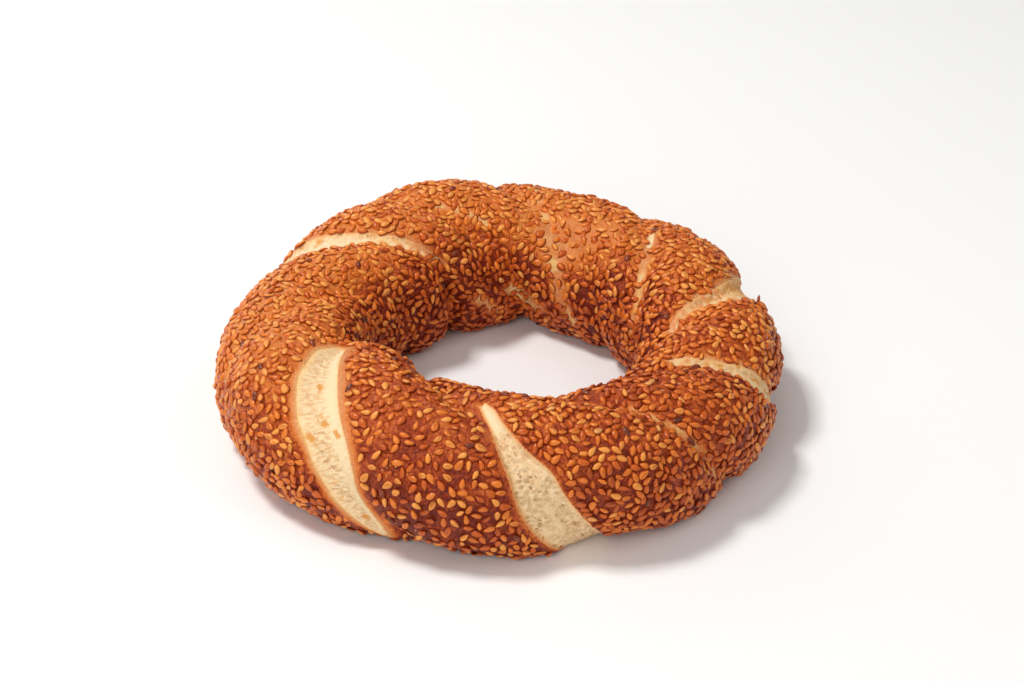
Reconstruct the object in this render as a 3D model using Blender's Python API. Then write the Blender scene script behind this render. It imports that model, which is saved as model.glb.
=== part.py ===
"""A simit: a baked ring of twisted bread dough under toasted sesame seeds.

Two ropes of dough are twisted together and closed into a ring. In the oven the ropes swell into one
uneven rope, and the creases between them stay as valleys. The widest creases tear open. The ring lies
on its flat underside on z = 0, with the middle of its outline over the origin. Metres, +Z up.
"""

import math
import random

import bmesh
import bpy
import numpy as np
from mathutils import Matrix, Vector

MM = 0.001

# The rope's middle line and its section. Unevenness is (waves round the ring, size, heading in degrees).
RING_RADIUS = 62.0 * MM
RING_WAVES = (
    (1, 2.6 * MM, 252),
    (2, 1.3 * MM, 199),
    (3, 1.4 * MM, 220),
    (4, 1.3 * MM, 36),
)
ROPE_HALF_WIDTH = 22.9 * MM
WIDTH_WAVES = (
    (1, 1.6 * MM, 172),
    (2, 0.9 * MM, 128),
    (3, 1.3 * MM, 342),
    (4, 1.0 * MM, 162),
)
ROPE_HALF_HEIGHT = 20.4 * MM
HEIGHT_WAVES = (
    (1, 1.1 * MM, 149),
    (2, 0.7 * MM, 174),
    (3, 0.5 * MM, 38),
    (4, 0.6 * MM, 113),
)
SECTION_POWER = 2.25  # 2 is an ellipse, and more is squarer
BASE_CUT = 0.85  # the flat base is this share of the half height below the rope's middle
BASE_SNAP = 0.7 * MM  # points this near to the flat base are moved onto it
ON_BASE = 0.001 * MM  # a point no higher than this lies on the base
RIM_MERGE = 1.0 * MM  # points of the base's rim that are nearer than this become one
RING_SHIFT = Vector((2.7 * MM, 0.9 * MM, 0))  # brings the middle of the outline over the origin

# Each crease crosses the top of the rope at one heading. Its groove and its tear are
# (heading, groove depth, tear half width, girth angle of the widest tear, reach of the tear in degrees).
# The girth angle is 0 on the outside of the ring, 90 on top and 180 facing the hole.
CREASES = (
    (215.0, 2.2 * MM, 7.0 * MM, 38, 45),
    (261.5, 2.8 * MM, 8.0 * MM, -15, 75),
    (297.5, 2.2 * MM, 0.8 * MM, 45, 60),
    (329.0, 2.4 * MM, 2.0 * MM, 45, 50),
    (362.5, 2.6 * MM, 3.0 * MM, 45, 60),
    (401.0, 1.6 * MM, 1.3 * MM, 110, 35),
    (446.0, 2.0 * MM, 0.3 * MM, 150, 40),
    (479.0, 2.0 * MM, 1.0 * MM, 120, 50),
    (503.0, 2.0 * MM, 2.7 * MM, 75, 65),
    (545.5, 1.3 * MM, 0.6 * MM, 30, 50),
)
CREASE_SMOOTHING = 12  # degrees over which the uneven spacing of the creases is smoothed
# How a crease leans as it goes round the rope: more on top, and with a hook where it faces the hole.
CREASE_LEAN, CREASE_HOOK = 0.23, 0.10
BACK_POCKET_DEPTH = 2.6 * MM  # the creases are deeper where the back of the ring faces the hole
BACK_POCKET_HEADING, BACK_POCKET_SPREAD = 108.0, 26.0
GROOVE_HALF_WIDTH = 3.6 * MM
LOBE_SWELL = 0.8 * MM  # how far the ropes bulge between their creases

# The sesame seeds, at true size. The largest are placed first.
SEED_COUNT = 198
SEED_TRIES = 60 * SEED_COUNT
SEED_LENGTH_RANGE = (2.9 * MM, 3.6 * MM)
SEED_WIDTH_SHARE, SEED_THICKNESS_SHARE = 0.70, 0.43  # before the seed tapers
SEED_TAPER = 0.55  # how much narrower the pointed end is than the blunt end
SEED_SPACING = 10.0 * MM
SEED_CLEAR_OF_TEAR = 2.2 * MM
SEED_LOWEST = 4.0 * MM
SEED_SIDES, SEED_RINGS = 5, 3
RANDOM_SEED = 41

# The mesh of the rope has columns round the ring and rows round its section. One step along both goes
# the way that the creases lean, so a crease runs along the diagonals of the mesh.
ROWS = 22
COLUMNS = ROWS * len(CREASES) // 2
ROW_LEAN, ROW_HOOK = 0.08, 0.03
TABLE_STEPS = 720


def waves(base, table, heading):
    """A size that is uneven round the ring: base plus a sum of cosines of the heading in radians."""
    total = np.full_like(heading, base)
    for count, size, peak in table:
        total = total + size * np.cos(count * heading - math.radians(peak))
    return total


def crease_count(heading):
    """How many creases have crossed the top of the rope by this heading, as a smooth number."""
    first = CREASES[0][0]
    turn = np.mod(np.degrees(heading) - first, 360) + first
    headings = [crease[0] for crease in CREASES]
    count = len(headings)
    known = [h - 360 for h in headings[-3:]] + headings + [h + 360 for h in headings[:3]]
    numbers = range(-3, count + 3)
    return sum(
        share * np.interp(turn + shift, known, numbers)
        for shift, share in ((-CREASE_SMOOTHING, 0.25), (0, 0.5), (CREASE_SMOOTHING, 0.25))
    )


def crease_lean(drop, lean, hook):
    """How many creases a crease line has passed by at this angle down from the top of the rope.

    A line comes up out of the hole at -90 degrees, runs over the top at 0 and goes down the outside at
    90 degrees, and it turns fastest where it faces the hole. One trip round the rope passes two creases.
    """
    return drop / math.pi + lean * np.sin(drop) - hook * (1 - np.cos(2 * drop))


def creases_passed(girth):
    """The same for a girth angle on the crust, which is 90 degrees on top."""
    drop = np.mod(math.pi / 2 - girth + math.pi, 2 * math.pi) - math.pi
    return crease_lean(drop, CREASE_LEAN, CREASE_HOOK)


def column_headings():
    """The heading of each column: the creases pass by evenly from one column to the next."""
    heading = math.radians(CREASES[0][0]) + (np.arange(TABLE_STEPS) + 0.5) * 2 * math.pi / TABLE_STEPS
    passed = crease_count(heading)
    wanted = passed[0] + np.arange(COLUMNS) * len(CREASES) / COLUMNS
    return np.mod(np.interp(wanted, passed, heading), 2 * math.pi)


def row_girths():
    """The girth angle of each row, a little closer together on top, where the creases lean more."""
    drop = np.linspace(-math.pi, math.pi, TABLE_STEPS)
    wanted = 1 - np.arange(ROWS) * 2 / ROWS
    return math.pi / 2 - np.interp(wanted, crease_lean(drop, ROW_LEAN, ROW_HOOK), drop)


def rope_point(heading, girth, out=0.0):
    """Points on the crust, out metres proud of it, for arrays of heading and girth angle in radians."""
    radius = waves(RING_RADIUS, RING_WAVES, heading)
    half_width = waves(ROPE_HALF_WIDTH, WIDTH_WAVES, heading)
    half_height = waves(ROPE_HALF_HEIGHT, HEIGHT_WAVES, heading)
    across, up = np.cos(girth), np.sin(girth)
    fullness = (np.abs(across) ** SECTION_POWER + np.abs(up) ** SECTION_POWER) ** (-1 / SECTION_POWER)
    groove, swell = relief(heading, girth)
    grow = (swell - groove + out) * fullness
    from_axis = radius + (half_width * fullness + grow) * across
    height = BASE_CUT * half_height + (half_height * fullness + grow) * up
    place = np.stack([from_axis * np.cos(heading), from_axis * np.sin(heading), height], axis=-1)
    return place + np.array(RING_SHIFT)


def crease_distance(heading, girth):
    """(number of the nearest crease, distance to it over the crust)."""
    passed = crease_count(heading) - creases_passed(girth)
    nearest = np.round(passed)
    step = 1e-3
    along = (crease_count(heading + step) - crease_count(heading - step)) / (2 * step)
    around = (creases_passed(girth + step) - creases_passed(girth - step)) / (2 * step)
    along = along / (RING_RADIUS + ROPE_HALF_WIDTH * np.cos(girth))
    around = np.minimum(np.abs(around), 1) / ROPE_HALF_WIDTH
    return nearest.astype(int) % len(CREASES), np.abs(passed - nearest) / np.hypot(along, around)


def tear_half_width(number, girth):
    """Half width of the torn opening of a crease at this girth angle: widest at its middle."""
    table = np.array(CREASES)
    half, middle, reach = (table[number, column] for column in (2, 3, 4))
    away = np.abs(np.mod(np.degrees(girth) - middle + 180, 360) - 180) / reach
    return half * np.exp(-(away**3))


def relief(heading, girth):
    """(depth of the crease grooves, swell of the rope between them)."""
    number, distance = crease_distance(heading, girth)
    width = GROOVE_HALF_WIDTH + tear_half_width(number, girth)
    crease = np.exp(-((distance / width) ** 2))
    off_pocket = (np.degrees(heading) - BACK_POCKET_HEADING) / BACK_POCKET_SPREAD
    facing_hole = np.clip(-np.cos(girth), 0, 1)
    depth = np.array(CREASES)[number, 1] + BACK_POCKET_DEPTH * np.exp(-(off_pocket**2)) * facing_hole
    passed = crease_count(heading) - creases_passed(girth)
    swell = LOBE_SWELL * (1 - np.cos(2 * math.pi * passed)) / 2
    return depth * crease, swell


def make_collection(name, hidden=False):
    collection = bpy.data.collections.new(name)
    collection.hide_render = hidden
    bpy.context.scene.collection.children.link(collection)
    return collection


def make_material(name, colour, roughness):
    """A Principled BSDF of one colour, in linear red, green and blue."""
    material = bpy.data.materials.new(name)
    material.use_nodes = True
    shader = material.node_tree.nodes["Principled BSDF"]
    shader.inputs["Base Color"].default_value = (*colour, 1)
    shader.inputs["Roughness"].default_value = roughness
    shader.inputs["Metallic"].default_value = 0
    return material


def cut_flat_base(mesh):
    """Cuts the rope off at z = 0 and closes it there with one flat face round the hole."""
    rope = bmesh.new()
    rope.from_mesh(mesh)
    bmesh.ops.triangulate(rope, faces=rope.faces, quad_method="ALTERNATE")
    for vertex in rope.verts:
        if abs(vertex.co.z) < BASE_SNAP:
            vertex.co.z = 0
    everything = [*rope.verts, *rope.edges, *rope.faces]
    bmesh.ops.bisect_plane(rope, geom=everything, plane_co=(0, 0, 0), plane_no=(0, 0, 1))
    below = [face for face in rope.faces if all(vertex.co.z < ON_BASE for vertex in face.verts)]
    bmesh.ops.delete(rope, geom=below, context="FACES")
    on_rim = [vertex for vertex in rope.verts if vertex.is_boundary]
    bmesh.ops.remove_doubles(rope, verts=on_rim, dist=RIM_MERGE)
    rim = [edge for edge in rope.edges if edge.is_boundary]
    bmesh.ops.triangle_fill(rope, use_beauty=True, edges=rim)
    bmesh.ops.recalc_face_normals(rope, faces=rope.faces)
    rope.to_mesh(mesh)
    rope.free()


def make_rope(collection, material):
    """A torus whose points move to the uneven, twisted and creased rope, with its underside cut flat."""
    bpy.ops.mesh.primitive_torus_add(
        major_segments=COLUMNS,
        minor_segments=ROWS,
        major_radius=RING_RADIUS,
        minor_radius=ROPE_HALF_WIDTH,
    )
    rope = bpy.context.object
    rope.name = "simit"
    for holder in list(rope.users_collection):
        holder.objects.unlink(rope)
    collection.objects.link(rope)
    points = np.empty(len(rope.data.vertices) * 3)
    rope.data.vertices.foreach_get("co", points)
    points = points.reshape(-1, 3)
    turn = np.arctan2(points[:, 1], points[:, 0])
    from_middle = np.hypot(points[:, 0], points[:, 1]) - RING_RADIUS
    column = np.round(turn / (2 * math.pi) * COLUMNS).astype(int) % COLUMNS
    row = np.round(np.arctan2(points[:, 2], from_middle) / (2 * math.pi) * ROWS).astype(int) % ROWS
    placed = rope_point(column_headings()[column], row_girths()[row])
    rope.data.vertices.foreach_set("co", placed.ravel())
    cut_flat_base(rope.data)
    rope.data.shade_smooth()
    rope.data.materials.append(material)
    return rope


def make_seed_mesh():
    """One sesame seed a metre long: a flat drop that is blunt at one end and pointed at the other."""
    seed = bmesh.new()
    bmesh.ops.create_uvsphere(seed, u_segments=SEED_SIDES, v_segments=SEED_RINGS, radius=0.5)
    for vertex in seed.verts:
        across, thick, along = vertex.co
        taper = 1 - SEED_TAPER * (along + 0.5) ** 1.5
        vertex.co = (along, across * SEED_WIDTH_SHARE * taper, thick * SEED_THICKNESS_SHARE * taper)
    mesh = bpy.data.meshes.new("sesame_seed")
    seed.to_mesh(mesh)
    seed.free()
    return mesh


def seed_places():
    """Where seeds lie: evenly spaced random points that keep off the tears and the underside."""
    draw = random.Random(RANDOM_SEED)
    places = []
    for _ in range(SEED_TRIES):
        heading = draw.uniform(0, 2 * math.pi)
        girth = draw.uniform(-math.pi, math.pi)
        spin = draw.uniform(0, 2 * math.pi)
        wide = (RING_RADIUS + ROPE_HALF_WIDTH * math.cos(girth)) / (RING_RADIUS + ROPE_HALF_WIDTH)
        if draw.random() > wide:
            continue
        angles = (np.array([heading]), np.array([girth]))
        number, distance = crease_distance(*angles)
        if distance[0] < tear_half_width(number, angles[1])[0] + SEED_CLEAR_OF_TEAR:
            continue
        place = Vector(rope_point(*angles)[0])
        if place.z < SEED_LOWEST:
            continue
        if all((place - other[0]).length > SEED_SPACING for other in places):
            places.append((place, heading, girth, spin))
        if len(places) == SEED_COUNT:
            break
    return places


def surface_axes(heading, girth):
    """(direction along the ring, direction out of the crust) at one place."""
    step = 0.01
    here = rope_point(np.array([heading]), np.array([girth]))[0]
    along = Vector(rope_point(np.array([heading + step]), np.array([girth]))[0] - here).normalized()
    around = Vector(rope_point(np.array([heading]), np.array([girth + step]))[0] - here).normalized()
    return along, along.cross(around).normalized()


def make_seeds(collection):
    """Seeds half sunk into the crust, each turned its own way, with the largest placed first."""
    mesh = make_seed_mesh()
    shortest, longest = SEED_LENGTH_RANGE
    for number, (place, heading, girth, spin) in enumerate(seed_places()):
        along, outward = surface_axes(heading, girth)
        length = longest + (shortest - longest) * number / SEED_COUNT
        side = outward.cross(along)
        turned = along * math.cos(spin) + side * math.sin(spin)
        axes = Matrix((turned, outward.cross(turned), outward)).transposed().to_4x4()
        seed = bpy.data.objects.new(f"seed_{number:03d}", mesh)
        seed.matrix_world = Matrix.Translation(place) @ axes @ Matrix.Scale(length, 4)
        collection.objects.link(seed)


def keep_largest_body(mesh):
    """Drops loose scraps and sealed hollows that the union left, and keeps the body with most points."""
    body = bmesh.new()
    body.from_mesh(mesh)
    left = set(body.verts)
    bodies = []
    while left:
        found = {left.pop()}
        edge_of_search = list(found)
        while edge_of_search:
            near = edge_of_search.pop()
            fresh = {edge.other_vert(near) for edge in near.link_edges} - found
            found |= fresh
            edge_of_search.extend(fresh)
        left -= found
        bodies.append(found)
    bodies.sort(key=len)
    for scrap in bodies[:-1]:
        bmesh.ops.delete(body, geom=list(scrap), context="VERTS")
    body.to_mesh(mesh)
    body.free()


def fuse(rope, collection):
    """Joins everything in the collection to the rope with one Boolean union, and applies it."""
    union = rope.modifiers.new("fuse_seeds", "BOOLEAN")
    union.operation = "UNION"
    union.operand_type = "COLLECTION"
    union.collection = collection
    union.solver = "EXACT"
    bpy.context.view_layer.update()
    fused = bpy.data.meshes.new_from_object(rope.evaluated_get(bpy.context.evaluated_depsgraph_get()))
    rope.modifiers.clear()
    keep_largest_body(fused)
    rope.data = fused
    for seed in list(collection.objects):
        bpy.data.objects.remove(seed)
    bpy.data.collections.remove(collection)


def main():
    for old in list(bpy.data.objects):
        bpy.data.objects.remove(old)
    food = make_collection("simit_parts")
    seeds = make_collection("sesame_seeds")
    crust = make_material("baked_crust", (0.38, 0.13, 0.04), 0.45)
    rope = make_rope(food, crust)
    make_seeds(seeds)
    fuse(rope, seeds)


main()
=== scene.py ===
"""The looks of a simit: a baked ring of twisted bread dough, torn along its creases, under toasted sesame.

The crust, the torn crumb, the seeds and the loose crumbs are surfaces worked out with numpy round the
packed ring. A place on the crust is a heading and a girth angle. The heading goes round the ring: 0 is
+X and 270 degrees is the front. The girth angle goes round the rope: 0 is the outside of the ring, 90 its
top, 180 the side that faces the hole and 270 the underside. Metres, +Z up.
"""

import math

import bpy
import numpy as np
from bpy.props import FloatProperty, FloatVectorProperty, IntProperty, PointerProperty
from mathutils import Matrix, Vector
from mathutils.kdtree import KDTree


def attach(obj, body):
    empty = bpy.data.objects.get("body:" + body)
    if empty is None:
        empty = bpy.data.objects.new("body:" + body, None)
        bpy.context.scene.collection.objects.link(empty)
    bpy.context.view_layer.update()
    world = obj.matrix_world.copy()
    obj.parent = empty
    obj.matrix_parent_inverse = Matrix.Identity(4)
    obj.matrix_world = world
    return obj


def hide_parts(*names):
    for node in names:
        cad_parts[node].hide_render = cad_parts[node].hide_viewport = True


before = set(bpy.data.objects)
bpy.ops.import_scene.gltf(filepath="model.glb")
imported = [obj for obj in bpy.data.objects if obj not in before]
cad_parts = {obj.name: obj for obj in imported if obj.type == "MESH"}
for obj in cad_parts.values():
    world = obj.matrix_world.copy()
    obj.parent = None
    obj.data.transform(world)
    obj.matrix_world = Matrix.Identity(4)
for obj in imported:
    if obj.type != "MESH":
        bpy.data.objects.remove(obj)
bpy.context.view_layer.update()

bl_info = {
    "name": "Simit",
    "version": (1, 0, 0),
    "blender": (4, 5, 0),
    "location": "View3D > Sidebar > Simit",
    "description": "Bakes the crust, the torn crumb and the sesame seeds of a simit",
    "category": "Object",
}

MM = 0.001
TURN = 2 * math.pi

# The rope's middle line and its section. Unevenness is (waves round the ring, size, heading in degrees).
RING_RADIUS = 62.0 * MM
RING_WAVES = ((1, 2.6 * MM, 252), (2, 1.3 * MM, 199), (3, 1.4 * MM, 220), (4, 1.3 * MM, 36))
ROPE_HALF_WIDTH = 22.9 * MM
WIDTH_WAVES = ((1, 1.6 * MM, 172), (2, 0.9 * MM, 128), (3, 1.3 * MM, 342), (4, 1.0 * MM, 162))
ROPE_HALF_HEIGHT = 20.4 * MM
HEIGHT_WAVES = ((1, 1.1 * MM, 149), (2, 0.7 * MM, 174), (3, 0.5 * MM, 38), (4, 0.6 * MM, 113))
SECTION_POWER = 2.25  # 2 is an ellipse, and more is squarer
BASE_CUT = 0.85  # the flat base is this share of the half height below the rope's middle
RING_SHIFT = (2.7 * MM, 0.9 * MM, 0)

# Each crease between the two ropes of dough: (heading where it crosses the top, groove depth, how much
# wider the groove is where it has torn, girth angle there, reach of the tear in degrees).
CREASES = np.array(
    (
        (215.0, 2.2 * MM, 7.0 * MM, 38, 45),
        (261.5, 2.8 * MM, 8.0 * MM, -15, 75),
        (297.5, 2.2 * MM, 0.8 * MM, 45, 60),
        (329.0, 2.4 * MM, 2.0 * MM, 45, 50),
        (362.5, 2.6 * MM, 3.0 * MM, 45, 60),
        (401.0, 1.6 * MM, 1.3 * MM, 110, 35),
        (446.0, 2.0 * MM, 0.3 * MM, 150, 40),
        (479.0, 2.0 * MM, 1.0 * MM, 120, 50),
        (503.0, 2.0 * MM, 2.7 * MM, 75, 65),
        (545.5, 1.3 * MM, 0.6 * MM, 30, 50),
    )
)
CREASE_SMOOTHING = 12  # degrees over which the uneven spacing of the creases is smoothed
CREASE_LEAN, CREASE_HOOK = 0.23, 0.10
BACK_POCKET_DEPTH = 2.6 * MM
BACK_POCKET_HEADING, BACK_POCKET_SPREAD = 108.0, 26.0
GROOVE_HALF_WIDTH = 3.6 * MM
LOBE_SWELL = 0.8 * MM

BASE_LEVEL = 0.35 * MM  # the crust's underside, which the seeds baked into it reach below
BASE_ROUNDING = 1.3 * MM


def tear(name, rungs, **changes):
    """A tear in the crust, with the usual values changed where its own are given.

    Its rungs run from one edge to the other: (heading, girth) of one end and of the other, in degrees,
    the first end at the smaller heading. Pairs are for the first and the second edge. Lengths are in
    millimetres: how deep the crumb lies, how far the browning fades outside and inside the edges, and how
    far the seeds keep off. The start is how baked the edge itself is. The skin is a stretched, smooth band:
    (its place across, its spread). Pores are (their spacing, the largest radius), and rough and fibres
    scale the crumb's relief. Tan is how golden the crumb is at the first and at the last rung, and toast
    how golden its patches are. Spots are toasted: (share along, share across, radius). A tear that isn't
    torn open is a pale streak of crust.
    """
    usual = {
        "depth": 0.3, "fade": (1.4, 1.4), "bare": (0.3, 0.3), "start": (0.4, 0.4), "inner": (0.5, 0.5),
        "skin": (0.5, 0.4), "pores": (1.3, 0.4), "rough": 0.8, "fibres": 0.5,
        "tan": (0.0, 0.0), "toast": 0.0, "spots": (), "torn": True,
    }
    if not changes.get("torn", True):
        usual["inner"] = (9.0, 9.0)
    return {"name": name, "rungs": rungs, **usual, **changes}


TEARS = (
    tear(
        "front_left",
        (
            (209.4, 107, 211.6, 111), (210.2, 99, 214.2, 105), (211.4, 89, 217.2, 97), (214.6, 77, 222.8, 84),
            (217.6, 65, 227, 73), (221.2, 54, 231, 61), (225, 41, 235, 48), (228.6, 30, 238, 36),
            (231.6, 16, 240.2, 20), (233.9, 5, 241.2, 4), (236.2, -6, 242.5, -8), (239.0, -17, 243.9, -19),
            (242.0, -28, 245.4, -30), (245.0, -40, 246.4, -41),
        ),
        depth=0.45, fade=(3.6, 4.2), bare=(3.6, 3.0), start=(0.17, 0.35), inner=(1.6, 0.5),
        skin=(0.80, 0.19), pores=(1.1, 0.45), toast=0.3, rough=0.5, fibres=1.0,
        spots=((0.31, 0.48, 1.3), (0.45, 0.58, 1.5), (0.49, 0.80, 1.1), (0.53, 0.14, 1.6), (0.88, 0.5, 0.9)),
    ),
    tear(
        "front",
        (
            (261.8, 102, 263.8, 103), (263.4, 92, 266.7, 94), (265.3, 80, 268.6, 83), (266.5, 68, 270.9, 71),
            (267.9, 52, 274.0, 55), (269.7, 34, 278.2, 37), (270.8, 18, 280.4, 18), (272.1, 2, 282.8, 0),
            (274.3, -16, 285.4, -18), (277.2, -34, 288, -36), (280.2, -52, 290, -54),
            (283.2, -70, 291, -72), (286.5, -86, 290, -87),
        ),
        depth=0.9, fade=(1.6, 1.4), bare=(2.2, 1.3), start=(0.82, 0.88), inner=(0.8, 0.45),
        skin=(0.5, 0.0), pores=(1.15, 0.70), rough=1.0, fibres=0.1,
    ),
    tear(
        "right_front",
        (
            (326.5, 110, 327.6, 111), (328, 103, 330.6, 103), (330.5, 92, 333.0, 91), (331.4, 80, 334.8, 80),
            (331, 66, 336.8, 66), (332.5, 50, 339.6, 50), (334, 32, 342, 30), (336.5, 16, 344, 13),
            (340, 2, 346, -3), (344, -12, 348, -16), (348, -26, 349, -27),
        ),
        depth=0.5, fade=(1.2, 3.2), bare=(0.1, 1.0), start=(0.45, 0.27), inner=(0.5, 1.4),
        skin=(0.3, 0.2), pores=(1.0, 0.45), tan=(0.18, 0.12), toast=0.9, rough=1.0,
        spots=((0.58, 0.72, 1.0), (0.66, 0.60, 0.9), (0.74, 0.75, 1.0)),
    ),
    tear(
        "right_back",
        (
            (351, 127, 351.8, 128), (352.3, 122, 354.2, 124), (357.4, 112.5, 359.8, 113),
            (360.8, 101, 364.2, 100.5), (362.1, 89, 367.4, 87), (362.8, 75, 371.6, 71),
            (364.3, 60, 376.6, 52), (366.9, 44, 381, 34), (370.4, 28, 383.5, 16), (375, 12, 385, 0),
            (380, -4, 386.5, -14), (384.5, -18, 387, -22),
        ),
        depth=0.55, fade=(1.0, 3.4), bare=(0.1, 1.3), start=(0.45, 0.28), inner=(0.6, 2.2),
        skin=(0.3, 0.2), pores=(1.0, 0.50), tan=(0.25, 0.17), toast=0.9, rough=1.2,
        spots=((0.55, 0.72, 1.3), (0.50, 0.85, 0.9), (0.36, 0.6, 0.9), (0.66, 0.8, 0.8)),
    ),
    tear(
        "back_left",
        (
            (121.0, 149, 122.0, 151), (124, 140, 125.6, 143), (128.5, 127, 131.2, 131),
            (132.2, 116, 136, 121), (136.4, 103, 140.6, 108), (140, 90, 145.8, 95),
            (143.2, 77, 149.6, 82), (145.8, 63, 152.8, 67),
            (148, 49, 155.6, 51), (150.2, 35, 158.2, 35), (153.2, 20, 160.2, 19), (157, 5, 161.5, 4),
            (161, -8, 162, -9),
        ),
        depth=0.5, fade=(1.6, 1.4), bare=(0.3, 0.1), start=(0.45, 0.55), inner=(1.1, 0.5),
        skin=(0.6, 0.3), pores=(1.2, 0.38), tan=(0.26, 0.0), toast=0.5,
        spots=((0.60, 0.24, 1.5), (0.68, 0.2, 1.0)),
    ),
    tear(
        "back_right_upper",
        ((42.6, 79, 43.4, 80), (40.8, 85, 42.8, 87), (38.4, 92, 40.6, 95), (36.6, 99, 37.8, 102)),
        fade=(1.8, 1.8), bare=(0.8, 0.8), start=(0.40, 0.40), tan=(0.02, 0.02),
    ),
    tear(
        "back_inside",
        (
            (91.5, 184, 91, 187), (88, 183, 87, 193), (83, 187, 82, 200), (78, 191, 77, 199),
            (74, 193, 73.8, 195),
        ),
        fade=(3.0, 2.6), bare=(1.0, 1.0), start=(0.20, 0.20), torn=False,
    ),
    tear(
        "back_left_inside",
        (
            (106.5, 186, 106, 188), (104.5, 186, 103, 193), (101, 191, 99.5, 200), (97.5, 198, 96, 204),
            (95, 204, 94.8, 205),
        ),
        fade=(2.6, 2.6), bare=(1.0, 1.0), start=(0.18, 0.18), torn=False,
    ),
    tear(
        "front_right_streak",
        (
            (300.4, 84, 300.8, 84), (301.8, 74, 302.4, 74), (304.4, 59, 305.2, 59), (306.9, 45, 307.9, 45),
            (309.9, 25, 310.9, 25), (312.4, 4, 313.0, 4), (313.8, -8, 314.1, -8),
        ),
        fade=(2.2, 1.8), bare=(0.8, 0.5), start=(0.36, 0.36), torn=False,
    ),
    tear(
        "back_right_streak",
        (
            (36.0, 103, 36.4, 103), (33.3, 111, 34.0, 111), (30.0, 118, 31.0, 119), (25.9, 127, 27.2, 128),
            (21.0, 137, 22.4, 138), (17.5, 146, 18.6, 147), (15.0, 157, 15.6, 157), (13.4, 170, 13.7, 170),
        ),
        fade=(2.4, 2.8), bare=(0.8, 1.0), start=(0.24, 0.24), torn=False,
    ),
    tear(
        "back_streak",
        (
            (97.7, 127, 97.9, 127), (100.0, 121, 100.3, 121), (103.3, 115, 103.7, 115),
            (108.3, 106, 108.7, 106), (113.1, 96, 113.3, 96),
        ),
        fade=(1.8, 1.2), bare=(0.8, 0.6), start=(0.18, 0.18), torn=False,
    ),
    tear(
        "back_pocket_streak",
        (
            (56.5, 198, 57.0, 198), (58.3, 191, 59.3, 191), (62.6, 179, 64.0, 179), (64.7, 166, 66.2, 166),
            (69.3, 147, 70.6, 147), (72.7, 131, 73.7, 131), (77.5, 110, 78.0, 110), (81.1, 90, 81.3, 90),
        ),
        fade=(3.6, 5.5), bare=(1.3, 1.6), start=(0.33, 0.33), torn=False,
    ),
    tear(
        "left_streak",
        ((197.9, 43, 198.3, 43), (195.3, 32, 195.9, 32), (197.0, 20, 197.8, 20), (197.6, 6, 198.2, 6)),
        fade=(1.8, 1.8), bare=(0.3, 0.3), start=(0.36, 0.36), torn=False,
    ),
)
BARE, FADE, START, INNER, TORN = (
    np.array([each[key] for each in TEARS]) for key in ("bare", "fade", "start", "inner", "torn")
)
RUNG_STEPS = 6  # how finely the rungs are interpolated to find places near a tear
# How far beyond a tear round the ring places are tested for it. Round the rope it is three times as far.
TEAR_REACH = math.radians(16)
NO_TEAR = 1.0  # the distance given to places that no tear is near
EDGE_DROP = 0.15 * MM  # how far the crumb's edge lies below the crust
EDGE_TUCK = 0.5 * MM  # how far the crumb runs on under the crust
SOFT_START = 0.3  # an edge that starts paler than this goes over smoothly into the crumb
# Shares of a tear's start value: how baked its edge is, and how baked its crumb is at a crisp edge.
EDGE_BAKE, CRISP_EDGE_BAKE = 0.75, 0.55
CRUST_SINK, CRUST_SINK_SLOPE = 2.4 * MM, 1.3  # the crust goes down under the crumb
LIP_HEIGHT, LIP_AWAY = 0.22 * MM, 0.9 * MM  # how high the lip beside a crisp edge is, and how far from it
LUMPS = ((9 * MM, 1.0), (4 * MM, 0.5), (2.2 * MM, 0.25))  # the crust's lumps: (wavelength, share)
LUMPS_FADE = 5 * MM  # the crust is smoother this near to a tear
BLOTCH_SIZE = 7 * MM  # wavelength of the uneven browning beside the tears
CRUST_COLUMNS, CRUST_ROWS = 640, 155

# Where the crust is baked most, and how much is added to its browning by where it lies. Down the side
# that faces the hole the added darkening is painted shade, and on the sunlit lobe the lightening is painted
# light.
DARKEST_HEADING = 292
FRONT_BAKE, FRONT_LOW_BAKE, HOLE_SIDE_SHADE, STRETCHED_BAKE, SUNLIT_LIGHTENING = 0.45, 0.55, 1.9, -0.6, -0.2
# Lobes that differ from the rest: (heading, its spread, girth angle, its spread) in degrees.
STRETCHED_LOBE = (66, 19, 130, 32)  # at the back right, where the crust has stretched: pale, with few seeds
SUNLIT_LOBE = (186, 22, 60, 42)  # on top at the left, the most golden: painted light where it faces the lamps
SHADED_LOBE = (312, 27, 0, math.inf)  # at the front right, whose seeds are made the brownest: painted shade where less light reaches

# Each random generator's own number, so that one piece's draws don't change another's.
LUMP_DRAW, SEED_DRAW, BLOTCH_DRAW, GRAIN_DRAW, CRUMB_DRAW = 1, 2, 3, 4, 100

# The camera looks along +Y and down, at the photograph's angle.
CAMERA_ELEVATION = 30.54
CAMERA_DISTANCE = 0.7035
CAMERA_TARGET = (3.64 * MM, 0.90 * MM, 21.98 * MM)
CAMERA_LENS, CAMERA_SENSOR = 82.03, 36.0

FLOOR_SIZE = 6
ROOM_LIGHT = 0.22
LAMPS = (  # (name, place, size, watts)
    ("key", (-0.52, 0.06, 1.17), 0.28, 10.2),
    ("front", (-0.35, -1.0, 0.6), 0.8, 5.0),
    ("fill", (0.9, -0.3, 1.0), 1.0, 3.2),
    ("back", (-0.7, 1.0, 0.45), 1.2, 4.5),
)


def linear_colour(code):
    """A linear red, green and blue from an sRGB hex code such as "#a5532a"."""
    levels = [int(code[i : i + 2], 16) / 255 for i in (1, 3, 5)]
    return tuple(level / 12.92 if level <= 0.04045 else ((level + 0.055) / 1.055) ** 2.4 for level in levels)


def unit(vectors):
    """Vectors of length 1 along the given ones."""
    return vectors / np.linalg.norm(vectors, axis=-1, keepdims=True)


def smooth_step(value):
    """0 below 0, 1 above 1, and 3v^2 - 2v^3 in between."""
    value = np.clip(value, 0, 1)
    return value * value * (3 - 2 * value)


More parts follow.
